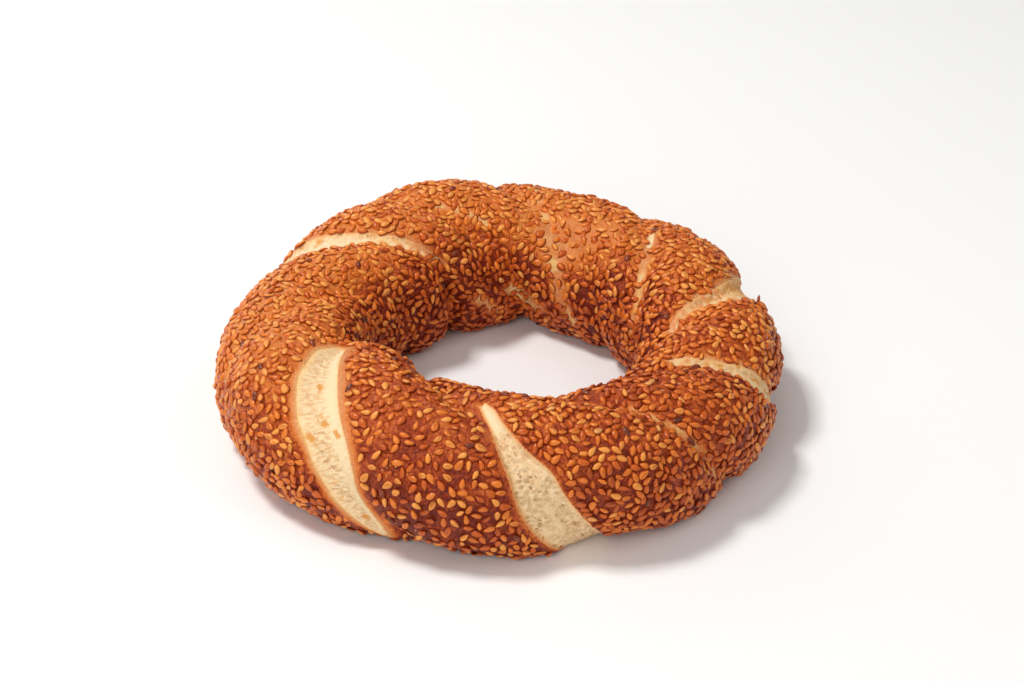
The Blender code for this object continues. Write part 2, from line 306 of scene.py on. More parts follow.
def unwrapped(angle, middle):
    """Angles brought to within half a turn of a middle one."""
    return np.mod(angle - middle + math.pi, TURN) - math.pi + middle


def waves(base, table, heading):
    """A size that is uneven round the ring: base plus a sum of cosines of the heading."""
    return base + sum(size * np.cos(count * heading - math.radians(peak)) for count, size, peak in table)


def crease_count(heading):
    """How many creases have crossed the top of the rope by this heading, as a smooth number."""
    first = CREASES[0, 0]
    turn = np.mod(np.degrees(heading) - first, 360) + first
    known = np.concatenate([CREASES[-3:, 0] - 360, CREASES[:, 0], CREASES[:3, 0] + 360])
    numbers = np.arange(-3, len(CREASES) + 3)
    return sum(
        share * np.interp(turn + shift, known, numbers)
        for shift, share in ((-CREASE_SMOOTHING, 0.25), (0, 0.5), (CREASE_SMOOTHING, 0.25))
    )


def creases_passed(girth):
    """How many creases a crease line has passed by at this girth angle, counted from the top."""
    drop = np.mod(math.pi / 2 - girth + math.pi, TURN) - math.pi
    return drop / math.pi + CREASE_LEAN * np.sin(drop) - CREASE_HOOK * (1 - np.cos(2 * drop))


def wrapped(count):
    """A count of creases brought to within half a ring of nothing."""
    half = len(CREASES) / 2
    return np.mod(count + half, 2 * half) - half


def crease_distance(heading, girth):
    """(number of the nearest crease, distance to it over the crust)."""
    passed = crease_count(heading) - creases_passed(girth)
    nearest = np.round(passed)
    step = 1e-3
    along = wrapped(crease_count(heading + step) - crease_count(heading - step)) / (2 * step)
    around = wrapped(creases_passed(girth + step) - creases_passed(girth - step)) / (2 * step)
    along = along / (RING_RADIUS + ROPE_HALF_WIDTH * np.cos(girth))
    around = np.minimum(np.abs(around), 1) / ROPE_HALF_WIDTH
    return nearest.astype(int) % len(CREASES), np.abs(passed - nearest) / np.hypot(along, around)


def relief(heading, girth):
    """(depth of the crease grooves, swell of the rope between them)."""
    number, distance = crease_distance(heading, girth)
    half, middle, reach = (CREASES[number, column] for column in (2, 3, 4))
    away = np.abs(np.mod(np.degrees(girth) - middle + 180, 360) - 180) / reach
    width = GROOVE_HALF_WIDTH + half * np.exp(-(away**3))
    crease = np.exp(-((distance / width) ** 2))
    off_pocket = (np.mod(np.degrees(heading), 360) - BACK_POCKET_HEADING) / BACK_POCKET_SPREAD
    facing_hole = np.clip(-np.cos(girth), 0, 1)
    depth = CREASES[number, 1] + BACK_POCKET_DEPTH * np.exp(-(off_pocket**2)) * facing_hole
    passed = crease_count(heading) - creases_passed(girth)
    swell = LOBE_SWELL * (1 - np.cos(TURN * passed)) / 2
    return depth * crease, swell


def crust_point(heading, girth, out=0.0):
    """Places on the crust, out metres proud of it, for arrays of heading and girth angle in radians.

    The section of the rope is a superellipse, which the waves make uneven and the creases groove. Its
    underside is pressed flat: heights go over smoothly into the level of the base.
    """
    radius = waves(RING_RADIUS, RING_WAVES, heading)
    half_width = waves(ROPE_HALF_WIDTH, WIDTH_WAVES, heading)
    half_height = waves(ROPE_HALF_HEIGHT, HEIGHT_WAVES, heading)
    across, up = np.cos(girth), np.sin(girth)
    fullness = (np.abs(across) ** SECTION_POWER + np.abs(up) ** SECTION_POWER) ** (-1 / SECTION_POWER)
    groove, swell = relief(heading, girth)
    grow = (swell - groove + out) * fullness
    from_axis = radius + (half_width * fullness + grow) * across
    height = BASE_CUT * half_height + (half_height * fullness + grow) * up
    above = height - BASE_LEVEL
    height = BASE_LEVEL + (above + np.sqrt(above**2 + BASE_ROUNDING**2)) / 2
    place = np.stack([from_axis * np.cos(heading), from_axis * np.sin(heading), height], axis=-1)
    return place + np.array(RING_SHIFT)


def crust_axes(heading, girth):
    """(step along the ring, step round the rope, outward normal) of the crust, the steps per radian."""
    step = 0.01
    along = (crust_point(heading + step, girth) - crust_point(heading - step, girth)) / (2 * step)
    around = (crust_point(heading, girth + step) - crust_point(heading, girth - step)) / (2 * step)
    return along, around, unit(np.cross(along, around))


LUMP_WAVES = 48


def lumps(places, size, draw):
    """Smooth random heights of about plus or minus one: a sum of plane waves of one wavelength."""
    direction = unit(draw.normal(size=(LUMP_WAVES, 3))) * TURN / size
    phase = draw.uniform(0, TURN, LUMP_WAVES)
    return np.cos(places @ direction.T + phase).sum(-1) * math.sqrt(2 / LUMP_WAVES)


def smooth_rungs(rungs, count):
    """More rungs between the given ones, on Catmull-Rom curves, as radians."""
    known = np.radians(np.array(rungs, float))
    known = np.vstack([2 * known[0] - known[1], known, 2 * known[-1] - known[-2]])
    place = np.linspace(0, len(rungs) - 1, count)
    first = np.minimum(place.astype(int), len(rungs) - 2)
    part = (place - first)[:, None]
    a, b, c, d = (known[first + i] for i in range(4))
    square, cube = 2 * a - 5 * b + 4 * c - d, 3 * b - a - 3 * c + d
    return 0.5 * (2 * b + (c - a) * part + square * part**2 + cube * part**3)


def tear_edges(rungs):
    """The two edges of a tear, as rows of points on the crust."""
    return [crust_point(rungs[:, i], rungs[:, i + 1]) for i in (0, 2)]


def inside_outline(heading, girth, outline):
    """Whether places lie inside a closed outline, by counting the sides that a line from each crosses."""
    inside = np.zeros(heading.shape, bool)
    for (h0, g0), (h1, g1) in zip(outline, np.roll(outline, -1, axis=0)):
        if g0 == g1:
            continue
        crosses = (girth > g0) != (girth > g1)
        inside ^= crosses & (heading < h0 + (girth - g0) / (g1 - g0) * (h1 - h0))
    return inside


def nearest_on_path(places, path):
    """Distance from each place to a path of straight pieces."""
    nearest = np.full(len(places), np.inf)
    for start, end in zip(path[:-1], path[1:]):
        side = end - start
        share = np.clip((places - start) @ side / (side @ side), 0, 1)
        nearest = np.minimum(nearest, np.linalg.norm(places - start - share[:, None] * side, axis=1))
    return nearest


def tear_field(heading, girth):
    """(distance outside the nearest tear, less than 0 inside it; its number; 0 or 1 for the nearer edge)."""
    distance = np.full(heading.shape, NO_TEAR)
    number = np.zeros(heading.shape, int)
    side = np.zeros(heading.shape, int)
    for index, each in enumerate(TEARS):
        rungs = smooth_rungs(each["rungs"], RUNG_STEPS * len(each["rungs"]))
        middle = rungs.mean(0)
        along = unwrapped(heading, (middle[0] + middle[2]) / 2)
        around = unwrapped(girth, (middle[1] + middle[3]) / 2)
        headings, girths = rungs[:, ::2], rungs[:, 1::2]
        near = (along > headings.min() - TEAR_REACH) & (along < headings.max() + TEAR_REACH)
        near &= (around > girths.min() - 3 * TEAR_REACH) & (around < girths.max() + 3 * TEAR_REACH)
        if not near.any():
            continue
        places = crust_point(along[near], around[near])
        edges = tear_edges(rungs)
        away = np.stack([nearest_on_path(places, edge) for edge in edges])
        ends = [nearest_on_path(places, np.stack([edges[0][i], edges[1][i]])) for i in (0, -1)]
        nearest = np.minimum(away.min(0), np.minimum(*ends))
        outline = np.vstack([rungs[:, :2], rungs[::-1, 2:]])
        nearest = np.where(inside_outline(along[near], around[near], outline), -nearest, nearest)
        closer = nearest < distance[near]
        chosen = np.flatnonzero(near)[closer]
        distance[chosen] = nearest[closer]
        number[chosen] = index
        side[chosen] = away[:, closer].argmin(0)
    return distance, number, side


def on_lobe(heading, girth, lobe):
    """1 in the middle of a lobe, and less away from it: exp(-a^2 - b^2) of its distance a, b in spreads."""
    middle, spread, girth_middle, girth_spread = lobe
    along = (np.degrees(np.mod(heading, TURN)) - middle) / spread
    around = (np.degrees(np.mod(girth, TURN)) - girth_middle) / girth_spread
    return np.exp(-(along**2) - around**2)


def lowness(girth):
    """0 near the top of the rope and 1 on its lower half."""
    return np.clip(0.80 - 0.75 * np.sin(girth), 0, 1)


def hole_side(girth):
    """0 to 1: how far down the side that faces the hole a place is; shade is painted there."""
    return smooth_step(-1.6 * np.cos(girth - math.radians(12))) * lowness(girth)


def bake_and_painted_shading(heading, girth):
    """How dark the crust is, 0 to 1: baked most on the front and right, and painted shade facing the hole."""
    front = np.clip(0.45 + 0.75 * np.cos(heading - math.radians(DARKEST_HEADING)), 0, 1)
    bake_and_shading = front * (FRONT_BAKE + FRONT_LOW_BAKE * lowness(girth)) + HOLE_SIDE_SHADE * hole_side(girth)
    bake_and_shading += STRETCHED_BAKE * on_lobe(heading, girth, STRETCHED_LOBE)
    bake_and_shading += SUNLIT_LIGHTENING * on_lobe(heading, girth, SUNLIT_LOBE)
    return np.clip(bake_and_shading, 0, 1)


def browning(heading, girth, distance, number, side):
    """How baked the surface is, painted shading included: from a tear's start value at its edge to 0.5 or
    more where its fade ends.
    """
    patchy = np.clip(lumps(crust_point(heading, girth), BLOTCH_SIZE, draw_for(BLOTCH_DRAW)), -1, 1.5)
    start = START[number, side] * EDGE_BAKE + np.where(TORN[number], 0.03, 0.13) * patchy
    start = np.clip(start, 0.05, None)
    stretched, sunlit = on_lobe(heading, girth, STRETCHED_LOBE), on_lobe(heading, girth, SUNLIT_LOBE)
    # The stretched lobe is paler, and the sunlit lobe is made paler as painted light.
    full = 0.50 + 0.50 * bake_and_painted_shading(heading, girth) - 0.12 * stretched - 0.10 * sunlit
    outside = start + (full - start) * smooth_step(distance / (FADE[number, side] * MM))
    inside = start * np.exp(distance / (INNER[number, side] * MM))
    return np.where(distance > 0, outside, inside)


def crust_lift(heading, girth, distance, number, side):
    """How far the crust lies proud of its plain form: lumps, lips beside crisp tears, dips under crumb."""
    draw = draw_for(LUMP_DRAW)
    flat = crust_point(heading, girth)
    rough = sum(share * lumps(flat, size, draw) for size, share in LUMPS)
    quiet = smooth_step(distance / LUMPS_FADE)
    crisp = START[number, side] > SOFT_START
    lip = LIP_HEIGHT * np.exp(-(((distance - LIP_AWAY) / LIP_AWAY) ** 2)) * crisp
    sink = np.clip(-distance * CRUST_SINK_SLOPE, 0, CRUST_SINK)
    return sizes().lump_height * rough * quiet + (lip - sink) * TORN[number]


def make_mesh(name, points, faces, material, values):
    """A smooth mesh object from an (n, 3) array of points and lists of faces, with values by point."""
    mesh = bpy.data.meshes.new(name)
    corners = np.concatenate([np.asarray(group).ravel() for group in faces])
    counts = np.concatenate([np.full(len(group), len(group[0])) for group in faces])
    mesh.vertices.add(len(points))
    mesh.vertices.foreach_set("co", np.ascontiguousarray(points, np.float32).ravel())
    mesh.loops.add(len(corners))
    mesh.loops.foreach_set("vertex_index", corners.astype(np.int32))
    mesh.polygons.add(len(counts))
    mesh.polygons.foreach_set("loop_start", np.concatenate([[0], np.cumsum(counts)[:-1]]).astype(np.int32))
    mesh.update(calc_edges=True)
    mesh.validate()
    for key, value in values.items():
        layer = mesh.attributes.new(key, "FLOAT", "POINT")
        layer.data.foreach_set("value", np.ascontiguousarray(value, np.float32).ravel())
    mesh.shade_smooth()
    mesh.materials.append(material)
    piece = bpy.data.objects.new(name, mesh)
    bpy.context.scene.collection.objects.link(piece)
    return piece


def grid_faces(rows, columns, closed=False):
    """Four-sided faces of a grid whose columns close on themselves, as its rows do if it is closed."""
    row, column = np.meshgrid(np.arange(rows if closed else rows - 1), np.arange(columns), indexing="ij")
    next_row, next_column = (row + 1) % rows, (column + 1) % columns
    corners = (row, column), (next_row, column), (next_row, next_column), (row, next_column)
    return np.stack([r * columns + c for r, c in corners], axis=-1).reshape(-1, 4)


def pod_faces(rows, columns):
    """(quads, triangles) of a grid closed with one point beyond each end, all facing outwards."""
    around = np.arange(columns)
    after = (around + 1) % columns
    end = (rows - 1) * columns
    blunt = np.stack([np.full(columns, rows * columns), after, around], axis=-1)
    tip = np.stack([np.full(columns, rows * columns + 1), end + around, end + after], axis=-1)
    return grid_faces(rows, columns)[:, ::-1], np.vstack([blunt, tip])


# Inputs of Math and Mix nodes go by number. For a Mix node that mixes colours they are the share of the
# second colour, the first colour and the second. The last number is that of its output.
SHARE, FIRST, SECOND, MIXED = 0, 6, 7, 2


def add_node(tree, kind, settings, links=None):
    """Adds one shader node, sets its properties and inputs, and links inputs to other nodes' outputs."""
    node = tree.nodes.new("ShaderNode" + kind)
    for key, value in settings.items():
        if isinstance(key, str) and hasattr(node, key):
            setattr(node, key, value)
        else:
            node.inputs[key].default_value = value
    for key, output in (links or {}).items():
        tree.links.new(output, node.inputs[key])
    return node


def set_ramp(node, *stops):
    """Gives a Color Ramp node its stops, each a position and a linear colour, and returns its colour."""
    ramp = node.color_ramp
    ramp.elements.remove(ramp.elements[-1])
    ramp.elements[0].position = stops[0][0]
    ramp.elements[0].color = (*stops[0][1], 1)
    for position, colour in stops[1:]:
        ramp.elements.new(position).color = (*colour, 1)
    return node.outputs["Color"]


def new_material(name):
    """(material, its node tree, its Principled BSDF)."""
    material = bpy.data.materials.new(name)
    material.use_nodes = True
    tree = material.node_tree
    return material, tree, tree.nodes["Principled BSDF"]


def set_shader(shader, **values):
    """Sets sockets of the Principled BSDF, named with _ for spaces, to values or to other nodes' outputs."""
    for key, value in values.items():
        socket = shader.inputs[key.replace("_", " ")]
        if isinstance(value, bpy.types.NodeSocket):
            shader.id_data.links.new(value, socket)
        else:
            socket.default_value = value


def crust_material(colours):
    """Bread crust glazed with grape molasses and baked: reddish brown, glossy, golden beside the tears.

    The glaze gives soft highlights, and the browning is blotchy over some 8 mm and finely speckled.
    """
    material, tree, shader = new_material("molasses_glazed_bread_crust")
    place = add_node(tree, "TexCoord", {}).outputs["Object"]
    # The bake value holds the browning, with painted shade down the side that faces the hole and painted
    # light on the sunlit lobe.
    bake = add_node(tree, "Attribute", {"attribute_name": "bake"}).outputs["Fac"]
    blotch, speck, wrinkle = (
        add_node(
            tree, "TexNoise", {"Scale": 1 / size, "Detail": detail, "Roughness": rough}, {"Vector": place}
        ).outputs["Fac"]
        for size, detail, rough in ((8 * MM, 4.0, 0.6), (1.0 * MM, 4.0, 0.65), (1.0 * MM, 5.0, 0.6))
    )
    blotchy = add_node(tree, "Math", {"operation": "MULTIPLY_ADD", 1: 0.9, 2: -0.45}, {0: blotch})
    speckled = add_node(tree, "Math", {"operation": "MULTIPLY_ADD", 1: 1.2, 2: -0.60}, {0: speck})
    uneven = add_node(tree, "Math", {"operation": "ADD"}, {0: blotchy.outputs[0], 1: speckled.outputs[0]})
    bake_and_shading = add_node(tree, "Math", {"operation": "MULTIPLY_ADD"}, {0: uneven.outputs[0], 1: bake, 2: bake})
    colour = set_ramp(
        add_node(tree, "ValToRGB", {}, {"Fac": bake_and_shading.outputs[0]}),
        (0.0, colours.membrane),
        (0.12, colours.golden_edge),
        (0.28, colours.orange_edge),
        (0.50, colours.crust_light),
        (0.75, colours.crust),
        (1.0, colours.crust_dark),
    )
    bump = add_node(tree, "Bump", {"Strength": 1.0, "Distance": 0.8 * MM}, {"Height": wrinkle})
    set_shader(shader, Base_Color=colour, Normal=bump.outputs["Normal"])
    set_shader(shader, Roughness=0.29, Specular_IOR_Level=0.36, Specular_Tint=(1, 0.78, 0.70, 1))
    return material


def crumb_material(colours):
    """Torn bread crumb: matt, porous and cream, with smooth stretched skins, toasted high spots and painted
    shade in its pores.
    """
    material, tree, shader = new_material("torn_bread_crumb")
    place = add_node(tree, "TexCoord", {}).outputs["Object"]
    bake, skin, pore, toast, fibre = (
        add_node(tree, "Attribute", {"attribute_name": key}).outputs["Fac"]
        for key in ("bake", "skin", "pore", "toast", "fibre")
    )
    noise = {"Scale": 1 / (1.4 * MM), "Detail": 5.0, "Roughness": 0.65}
    mottle = add_node(tree, "TexNoise", noise, {"Vector": place}).outputs["Fac"]
    # The crumb is mottled at random, and darker in the grooves between the fibres as painted shade.
    grain = add_node(tree, "Math", {"operation": "MULTIPLY_ADD", 1: 0.8}, {0: fibre, 2: mottle})
    body = add_node(tree, "ValToRGB", {}, {"Fac": grain.outputs[0]})
    colour = set_ramp(body, (0.68, colours.crumb_shade), (1.0, colours.crumb))
    edge = set_ramp(
        add_node(tree, "ValToRGB", {}, {"Fac": bake}),
        (0.0, colours.membrane),
        (0.12, colours.golden_edge),
        (0.28, colours.orange_edge),
    )
    near_edge = add_node(tree, "Math", {"operation": "MULTIPLY", 1: 4.0, "use_clamp": True}, {0: bake})
    for share, other in (
        (skin, colours.membrane),
        (near_edge.outputs[0], edge),
        (pore, colours.pore),
        (toast, colours.toasted_crumb),
    ):
        settings, links = {"data_type": "RGBA"}, {SHARE: share, FIRST: colour}
        if other is edge:
            links[SECOND] = edge
        else:
            settings[SECOND] = (*other, 1)
        colour = add_node(tree, "Mix", settings, links).outputs[MIXED]
    bump = add_node(tree, "Bump", {"Strength": 0.5, "Distance": 0.2 * MM}, {"Height": mottle})
    set_shader(shader, Base_Color=colour, Normal=bump.outputs["Normal"], Roughness=0.7, IOR=1.4)
    return material


def seed_material(name, light, dark, palette):
    """Toasted hulled sesame with a smooth, slightly oily skin, and a dark foot that is partly molasses glaze
    and partly painted contact shade.
    """
    material, tree, shader = new_material(name)
    place = add_node(tree, "TexCoord", {}).outputs["Object"]
    tone, crown, bake, heart = (
        add_node(tree, "Attribute", {"attribute_name": key}).outputs["Fac"]
        for key in ("tone", "crown", "bake", "heart")
    )
    speck = add_node(tree, "TexNoise", {"Scale": 1 / (0.9 * MM), "Detail": 2.0}, {"Vector": place})
    uneven = add_node(
        tree, "Math", {"operation": "MULTIPLY_ADD", 1: 0.5, 2: -0.60}, {0: speck.outputs["Fac"]}
    )
    # Painted light and shade: each seed is lighter along its top, as a painted highlight, and darker towards
    # its rim, as painted shade.
    lighter_top = add_node(
        tree, "Math", {"operation": "MULTIPLY_ADD", 1: 1.1}, {0: crown, 2: uneven.outputs[0]}
    )
    shade = add_node(tree, "Math", {"operation": "ADD"}, {0: tone, 1: lighter_top.outputs[0]})
    skin = set_ramp(add_node(tree, "ValToRGB", {}, {"Fac": shade.outputs[0]}), (0.60, dark), (1.0, light))
    # Painted shading: some seeds are darker in the middle, so that their thin rims look lit through and
    # glossy.
    heart_colour = {"data_type": "RGBA", SECOND: (*palette.seed_middle_shading, 1)}
    hearted = add_node(tree, "Mix", heart_colour, {SHARE: heart, FIRST: skin})
    # The foot's colour is the molasses glaze, darker where the crust is more baked, and dark enough to be
    # painted contact shade round each seed.
    foot_colours = {"data_type": "RGBA", FIRST: (*palette.pale_glaze_and_contact_shade, 1), SECOND: (*palette.glaze_and_contact_shade, 1)}
    glaze_and_contact_shade = add_node(tree, "Mix", foot_colours, {SHARE: bake})
    # The rim, at 0.6 on the crown, still takes in some of the foot's colour: a painted shade outline.
    above_foot = add_node(
        tree, "Math", {"operation": "MULTIPLY_ADD", 1: 1.9, 2: -0.70, "use_clamp": True}, {0: crown}
    )
    seed = add_node(
        tree,
        "Mix",
        {"data_type": "RGBA"},
        {SHARE: above_foot.outputs[0], FIRST: glaze_and_contact_shade.outputs[MIXED], SECOND: hearted.outputs[MIXED]},
    )
    set_shader(shader, Base_Color=seed.outputs[MIXED])
    set_shader(shader, Roughness=0.30, Specular_IOR_Level=0.46, Specular_Tint=(1, 0.82, 0.62, 1))
    return material


def millimetres(name, size, description):
    """A length property whose default is in millimetres."""
    return FloatProperty(name=name, description=description, default=size * MM, unit="LENGTH")


def hex_colour(name, code, description):
    """A colour property whose default is an sRGB hex code."""
    return FloatVectorProperty(
        name=name, description=description, subtype="COLOR", size=3, min=0, max=1, default=linear_colour(code)
    )


class SimitSizes(bpy.types.PropertyGroup):
    """The sizes of the crust's relief and of the seeds."""

    lump_height: millimetres("Lump height", 0.22, "Height of the crust's lumps")
    seed_length: millimetres("Seed length", 3.2, "Mean length of a sesame seed")
    seed_width: millimetres("Seed width", 1.76, "Mean width of a sesame seed")
    seed_thickness: millimetres("Seed thickness", 0.98, "Mean thickness of a sesame seed")
    seed_spacing: millimetres("Seed spacing", 1.90, "Least distance between seeds when thrown")
    seed_proud: millimetres("Seed height", 0.26, "How far a seed's middle lies above the crust")
    random_seed: IntProperty(name="Random seed", description="Changes every random draw", default=7)


class SimitColours(bpy.types.PropertyGroup):
    """The colours of the crust, the crumb and the seeds."""

    crust_light: hex_colour("Light crust", "#e07a2c", "The least baked crust away from the tears")
    crust: hex_colour("Crust", "#ae4111", "Baked crust between the seeds")
    crust_dark: hex_colour("Dark crust", "#6e1a04", "The most baked crust")
    # The seeds' foot colours: molasses glaze, made darker as painted contact shade round each seed.
    glaze_and_contact_shade: hex_colour("Glaze", "#7c2006", "Molasses glaze that has drawn up round the seeds")
    pale_glaze_and_contact_shade: hex_colour("Light glaze", "#b44c16", "The same glaze where the crust is little baked")
    # Painted shading: the darker middle of some seeds, for the light that shines through and off their rims.
    seed_middle_shading: hex_colour("Seed hearts", "#a8420f", "The browner middle of some seeds")
    orange_edge: hex_colour("Orange edge", "#e4955c", "Crust close to a tear")
    golden_edge: hex_colour("Golden edge", "#f0bc70", "Crust at the edge of a tear")
    membrane: hex_colour("Stretched skin", "#efd6aa", "Smooth stretched dough in a tear")
    crumb: hex_colour("Crumb", "#f4d6a9", "Porous crumb in a tear")
    # Partly random mottling, partly painted shade in the grooves between the fibres.
    crumb_shade: hex_colour("Crumb shade", "#e6ba86", "Darker parts of the crumb")
    toasted_crumb: hex_colour("Toasted crumb", "#da923a", "Toasted high spots of the crumb")
    # Painted shade: the colour put into the pores and the web's hollows.
    pore: hex_colour("Pores", "#ad7a4a", "The bottom of the pores")
    golden_seed: hex_colour("Golden seeds", "#f09a44", "The lightest of the golden seeds")
    amber_seed: hex_colour("Amber seeds", "#e37a28", "Between the golden and the toasted seeds")
    toasted_seed: hex_colour("Toasted seeds", "#cb5c1a", "Between the amber and the brown seeds")
    brown_seed: hex_colour("Brown seeds", "#9e3e12", "The darkest of the toasted seeds")
    pale_seed: hex_colour("Pale seeds", "#eda65e", "The palest seeds")
    dark_seed: hex_colour("Dark seeds", "#6e3022", "Over-roasted, purple-brown seeds")
    floor: hex_colour("Floor", "#fbfaf8", "The pale floor")


def sizes():
    """The sizes that the scene has now."""
    return bpy.context.scene.simit_sizes


def colours():
    """The colours that the scene has now."""
    return bpy.context.scene.simit_colours


def draw_for(number):
    """A random generator of its own for each piece."""
    return np.random.default_rng(sizes().random_seed * 1000 + number)


class SIMIT_OT_crust(bpy.types.Operator):
    """Bakes the crust: one closed grid round the ring and round the rope"""

    bl_idname = "simit.crust"
    bl_label = "Bake Crust"

    def execute(self, context):
        heading, girth = np.meshgrid(
            np.arange(CRUST_COLUMNS) * TURN / CRUST_COLUMNS,
            np.arange(CRUST_ROWS) * TURN / CRUST_ROWS,
            indexing="ij",
        )
        heading, girth = heading.ravel(), girth.ravel()
        distance, number, side = tear_field(heading, girth)
        points = crust_point(heading, girth, crust_lift(heading, girth, distance, number, side))
        bake = browning(heading, girth, np.maximum(distance, 0), number, side)
        faces = [grid_faces(CRUST_COLUMNS, CRUST_ROWS, closed=True)]
        crust = make_mesh("crust", points, faces, crust_material(colours()), {"bake": bake})
        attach(crust, "root")
        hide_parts("simit")
        return {"FINISHED"}


CRUMB_STEP = 0.25 * MM
MEASURING_RUNGS = 200  # how many rungs a tear's length is measured over
CRUMB_FLOOR_POINTS = 6
CRUMB_THICKNESS = 2.2 * MM
NARROWEST_RUNG = 0.3 * MM
# Wavelengths of the crumb's patterns.
PORE_CLUSTERS, TOAST_PATCHES, COARSE, FINE = 8 * MM, 3.2 * MM, 2.4 * MM, 0.8 * MM
WEB, FINE_WEB, FIBRES = 2.6 * MM, 1.3 * MM, 0.75 * MM
# Heights of the crumb's relief.
COARSE_HEIGHT, FINE_HEIGHT, WEB_HEIGHT, FIBRE_HEIGHT = 0.10 * MM, 0.05 * MM, -0.12 * MM, 0.05 * MM
TOAST_HEIGHT, SKIN_HEIGHT, PORE_HEIGHT = 0.10 * MM, 0.10 * MM, -0.38 * MM
# At a soft and at a crisp edge: how far in the relief begins, the edge's own height and its tuck's depth.
SOFT_RAMP, CRISP_RAMP = 4.0 * MM, 1.6 * MM
SOFT_EDGE_HEIGHT = 0.06 * MM
SOFT_TUCK_DEPTH, CRISP_TUCK_DEPTH = 0.12 * MM, 0.6 * MM


def pore_depths(run, across, span, spacing, largest, draw):
    """How deep in a pore each place of the crumb is: dimples (1 - r^2)^2, oval and turned any way."""
    length = run[-1, 0]
    pore = np.zeros(run.shape)
    rows_per_length = (len(run) - 1) / length
    for _ in range(int(length * span.mean() / spacing**2)):
        at_run, at_share = draw.uniform(0, length), draw.uniform(0.02, 0.98)
        radius = largest * (0.28 + 0.72 * draw.random() ** 4)
        stretch, turn = 1 + 0.7 * draw.random(), draw.uniform(0, math.pi)
        row = int(at_run * rows_per_length)
        reach = int(radius * stretch * rows_per_length) + 2
        rows = slice(max(row - reach, 0), row + reach + 1)
        off_run, off_across = run[rows] - at_run, across[rows] - at_share * span[row]
        long_way = (off_run * math.cos(turn) + off_across * math.sin(turn)) / (radius * stretch)
        short_way = (off_across * math.cos(turn) - off_run * math.sin(turn)) / radius
        closeness = np.clip(1 - long_way**2 - short_way**2, 0, 1) ** 2
        pore[rows] = np.maximum(pore[rows], closeness * (0.40 + 0.60 * radius / largest))
    return pore


def crumb_ladder(each):
    """A grid over one tear: (heading, girth, share of the way across, width of each rung, length).

    Its rungs lie a step apart, and run on a little under the crust at both edges.
    """
    first, second = tear_edges(smooth_rungs(each["rungs"], MEASURING_RUNGS))
    length = np.linalg.norm(np.diff((first + second) / 2, axis=0), axis=1).sum()
    width = np.linalg.norm(second - first, axis=1).max()
    along_count = max(int(length / CRUMB_STEP), 8)
    across_count = max(int((width + 2 * EDGE_TUCK) / CRUMB_STEP), 8)
    rungs = smooth_rungs(each["rungs"], along_count)
    first, second = tear_edges(rungs)
    span = np.maximum(np.linalg.norm(second - first, axis=1), NARROWEST_RUNG)[:, None]
    tuck = EDGE_TUCK / span
    share = np.linspace(0, 1, across_count) * (1 + 2 * tuck) - tuck
    heading = rungs[:, :1] + (rungs[:, 2:3] - rungs[:, :1]) * share
    girth = rungs[:, 1:2] + (rungs[:, 3:4] - rungs[:, 1:2]) * share
    return heading, girth, share, span, length


